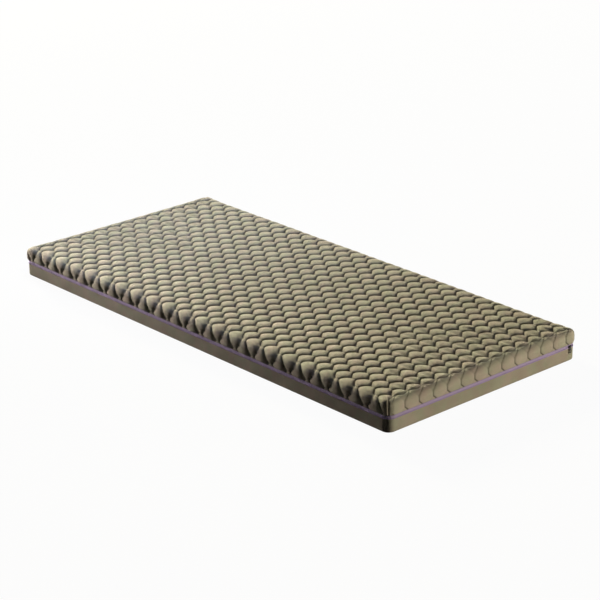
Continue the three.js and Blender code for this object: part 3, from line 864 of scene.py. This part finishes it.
def cloth_material(name, light, dark, weave, sheen, painted_groove_shade=0.0, mottled=False):
    """Fine knitted or woven cloth: two tones in slow patches, a fine rib, and a soft sheen. A mottled one
    drifts between a greenish and a pinkish cast, and painted_groove_shade is the share of painted shade in
    the grooves and sewn lines."""
    material, tree, shader = new_material(name, light, CLOTH_ROUGHNESS)
    coarse = noise(tree, cloth_place(tree, TONE_PATCHES, TONE_PATCHES), detail=5.0)
    fine = noise(tree, cloth_place(tree, TONE_GRAIN, TONE_GRAIN), detail=2.0)
    patches = mapped(tree, calculated(tree, "ADD", coarse, fine), source=TONE_RANGE)
    tone = mixed_color(tree, patches, (*dark, 1), (*light, 1))
    if mottled:
        tone = mixed_color(tree, 1, tone, cast_color(tree), blend="MULTIPLY")
    # Painted shade in the grooves, from the cloth's attribute
    if painted_groove_shade:
        depth = add(tree, "ShaderNodeAttribute", attribute_name="painted_groove_shade")
        amount = calculated(tree, "MULTIPLY", depth.outputs["Fac"], painted_groove_shade)
        tone = mixed_color(tree, amount, tone, (*[c * PAINTED_SHADE_TONE for c in dark], 1))
    put(tree, shader.inputs["Base Color"], tone)
    shader.inputs["Sheen Weight"].default_value = sheen
    shader.inputs["Sheen Roughness"].default_value = SHEEN_ROUGHNESS
    shader.inputs["Specular IOR Level"].default_value = CLOTH_SPECULAR
    ribs = []
    for direction, scale in zip("XY", weave):
        place = cloth_place(tree, scale, scale)
        wave = add(tree, "ShaderNodeTexWave", bands_direction=direction, Vector=place, Scale=1.0,
                   Distortion=0.6, Detail=1.0)
        ribs.append(wave.outputs["Fac"])
    lumps = calculated(tree, "ADD", calculated(tree, "ADD", *ribs), fine)
    bumped(tree, shader, lumps, strength=0.35, distance=0.6 * MM)
    return material


def plain_material(name, color, roughness, metallic=0.0, grain=300.0, strength=0.2):
    """Plastic, foam or metal with a fine uneven surface, by place on the object."""
    material, tree, shader = new_material(name, color, roughness)
    shader.inputs["Metallic"].default_value = metallic
    place = add(tree, "ShaderNodeTexCoord").outputs["Object"]
    uneven = noise(tree, place, detail=4.0, scale=grain)
    smoothest = max(LEAST_ROUGHNESS, roughness - ROUGHNESS_SWING)
    roughest = min(1.0, roughness + ROUGHNESS_SWING)
    put(tree, shader.inputs["Roughness"], mapped(tree, uneven, result=(smoothest, roughest)))
    bumped(tree, shader, uneven, strength, distance=0.3 * MM)
    return material


# The quilted cloth takes painted shade in its grooves
quilt_knit = cloth_material("quilt_cloth", srgb(207, 196, 180), srgb(185, 174, 158), weave=(700, 1100),
                            sheen=0.1, painted_groove_shade=1.0, mottled=True)
plain_knit = cloth_material("plain_cloth", srgb(190, 180, 164), srgb(168, 158, 142), weave=(1600, 1600),
                            sheen=0.1, mottled=True)
backing_weave = cloth_material("backing", srgb(232, 230, 222), srgb(214, 212, 204), weave=(900, 900),
                               sheen=0.05)
tape_weave = cloth_material("tape_cloth", srgb(206, 182, 228), srgb(182, 158, 208), weave=(1800, 1800),
                            sheen=0.05)
thread = cloth_material("thread", srgb(190, 164, 216), srgb(170, 144, 198), weave=(2500, 2500), sheen=0.1)
zip_plastic = plain_material("zip_plastic", srgb(214, 194, 232), roughness=0.5)
foam = plain_material("foam", srgb(236, 228, 196), roughness=0.95, grain=260.0, strength=0.6)
slider_metal = plain_material("slider_metal", srgb(16, 16, 18), roughness=0.5, metallic=0.2, grain=180.0,
                              strength=0.05)
stop_metal = plain_material("stop_metal", srgb(120, 120, 126), roughness=0.35, metallic=1.0, grain=500.0,
                            strength=0.08)


# The object

def belongs(piece, node):
    """Makes a piece ride on the mattress and, where it stands for a node, hides that node's imported mesh."""
    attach(piece, "mattress")
    if node:
        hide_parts(node)
    return piece


block = belongs(foam_block(foam), "foam_core")
quilt = belongs(quilted_cover(quilt_knit), "quilted_cover")
quilt_back = belongs(backing_cloth(backing_weave), "quilt_backing")
lower = belongs(plain_cover(plain_knit), "plain_cover")

for place, sign, cloth in (("upper", 1, quilt), ("lower", -1, lower)):
    tape = belongs(zip_tape(place + "_tape", sign, tape_weave), place + "_zip_tape")
    coil = belongs(zip_coil(place + "_coil", sign, zip_plastic), place + "_zip_coil")
    binding = belongs(hem_binding(place + "_binding", sign, tape_weave), None)
    seam_height = (UPPER_HEM if sign > 0 else LOWER_HEM) + sign * BINDING_STITCH_RISE
    row = stitch_row(place + "_stitches", BINDING_OUTSIDE, seam_height, thread)
    stitches = belongs(row, None)

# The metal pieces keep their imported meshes, with their sharp edges broken
node_materials = {
    "upper_end_stop": stop_metal,
    "lower_end_stop": stop_metal,
    "zip_start_stop": stop_metal,
    "zip_slider": slider_metal,
    "zip_pull_tab": slider_metal,
}
for node, material in node_materials.items():
    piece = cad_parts[node]
    piece.data.materials.clear()
    piece.data.materials.append(material)
    weld = piece.modifiers.new("weld", "WELD")
    weld.merge_threshold = 0.01 * MM
    bevel = piece.modifiers.new("bevel", "BEVEL")
    bevel.width = 0.2 * MM
    bevel.segments = 2
    bevel.limit_method = "ANGLE"


# Floor and scrims

FLOOR_REACH = 30
FLOOR_DROP = 0.2 * MM
GLOW_SHARE = 0.96
SEEN_TONE = 0.8
BOUNCE_TONE = 0.06


def seen_directly(tree):
    """1 for camera, glossy and transmission rays, and 0 for all others."""
    path = add(tree, "ShaderNodeLightPath").outputs
    seen = calculated(tree, "MAXIMUM", path["Is Camera Ray"], path["Is Glossy Ray"])
    return calculated(tree, "MAXIMUM", seen, path["Is Transmission Ray"])


def white_ground(name):
    """White to the camera and in reflections, keeping part of the shadow; dim to bounced light."""
    material, tree = bare_material(name)
    seen = seen_directly(tree)
    pale = add(tree, "ShaderNodeBsdfDiffuse", Color=mapped(tree, seen, result=(BOUNCE_TONE, SEEN_TONE)))
    glow = add(tree, "ShaderNodeEmission", Color=WHITE, Strength=1.0)
    share = calculated(tree, "MULTIPLY", seen, GLOW_SHARE)
    add(tree, "ShaderNodeOutputMaterial", Surface=mixed_shader(tree, share, pale, glow))
    return material


def white_floor():
    corners = [(-FLOOR_REACH, -FLOOR_REACH, 0), (FLOOR_REACH, -FLOOR_REACH, 0),
               (FLOOR_REACH, FLOOR_REACH, 0), (-FLOOR_REACH, FLOOR_REACH, 0)]
    ground = new_object("floor", corners, [(0, 1, 2, 3)], white_ground("white_ground"), smooth=False)
    ground.location.z = -FLOOR_DROP


def scrim(name, start, end, height, passed):
    """A thin upright studio cloth that lets a share of the light through, unseen itself."""
    material, tree = bare_material(name)
    clear = add(tree, "ShaderNodeBsdfTransparent", Color=(passed, passed, passed, 1))
    add(tree, "ShaderNodeOutputMaterial", Surface=clear.outputs[0])
    corners = [(*start, 0.0), (*end, 0.0), (*end, height), (*start, height)]
    cloth = new_object(name, corners, [(0, 1, 2, 3)], material, smooth=False)
    cloth.visible_camera = False
    cloth.visible_diffuse = False
    cloth.visible_glossy = False


white_floor()
scrim("far_end_scrim", start=(-1.06, -0.44), end=(-1.06, 0.475), height=0.118, passed=0.4)
scrim("rear_scrim", start=(-1.01, 0.465), end=(1.01, 0.465), height=0.11, passed=0.6)


# Lamps, with sizes in metres, cones in degrees and power in watts

def hang_lamp(light, place, target, power, color):
    """Puts a light at its place, turned to its target."""
    light.energy = power
    light.color = color
    lamp = bpy.data.objects.new(light.name, light)
    lamp.location = place
    lamp.rotation_euler = (Vector(target) - Vector(place)).to_track_quat("-Z", "Y").to_euler()
    bpy.context.scene.collection.objects.link(lamp)


def area_lamp(name, place, target, size, power, color):
    light = bpy.data.lights.new(name, "AREA")
    light.shape = "RECTANGLE"
    light.size, light.size_y = size
    hang_lamp(light, place, target, power, color)


def spot_lamp(name, place, target, cone, power, color):
    """A soft-edged spot, as from a studio lamp with a diffuser."""
    light = bpy.data.lights.new(name, "SPOT")
    light.spot_size = math.radians(cone)
    light.spot_blend = 1
    light.shadow_soft_size = 0.2
    hang_lamp(light, place, target, power, color)


area_lamp("key_lamp", place=(-15.2, 3.75, 4.4), target=(0.0, 0.0, 0.05), size=(2.0, 2.0), power=5100,
          color=(1.0, 0.95, 0.64))
area_lamp("left_lamp", place=(-0.95, 0.0, 1.3), target=(-0.8, 0.0, 0.05), size=(0.5, 0.5), power=9,
          color=(0.62, 0.74, 1.0))
spot_lamp("side_lamp", place=(-5.0, -1.1, 0.5), target=(-0.62, -0.45, 0.05), cone=6.8, power=1700,
          color=(1.0, 0.915, 0.84))
area_lamp("end_lamp", place=(6.0, 5.2, 0.5), target=(1.0, 0.0, 0.05), size=(1.4, 0.8), power=430,
          color=(1.0, 0.94, 0.76))


# World, white where it is seen and dim to bounced light

WORLD_STRENGTH = 0.005

world = bpy.data.worlds.new("studio")
bpy.context.scene.world = world
world.use_nodes = True
sky = world.node_tree
sky.nodes.clear()
dim_sky = add(sky, "ShaderNodeBackground", Color=WHITE, Strength=WORLD_STRENGTH)
white_sky = add(sky, "ShaderNodeBackground", Color=WHITE, Strength=1.0)
add(sky, "ShaderNodeOutputWorld", Surface=mixed_shader(sky, seen_directly(sky), dim_sky, white_sky))


# Camera, fitted to the photograph's outline

CAMERA_AT = Vector((5.271, -4.5876, 2.8054))
AIM_AT = Vector((-0.0666, 0.1278, 0.0))
ROLL = math.radians(-0.862)
FOCAL_PIXELS = 2067.8
FRAME_PIXELS = 600
SENSOR = 36

camera_data = bpy.data.cameras.new("camera")
camera_data.sensor_width = SENSOR
camera_data.lens = SENSOR * FOCAL_PIXELS / FRAME_PIXELS
camera_data.clip_end = 100
camera = bpy.data.objects.new("camera", camera_data)
turned = (AIM_AT - CAMERA_AT).to_track_quat("-Z", "Y").to_matrix() @ Matrix.Rotation(ROLL, 3, "Z")
camera.matrix_world = Matrix.Translation(CAMERA_AT) @ turned.to_4x4()
bpy.context.scene.collection.objects.link(camera)
bpy.context.scene.camera = camera
bpy.context.scene.view_settings.view_transform = "Standard"
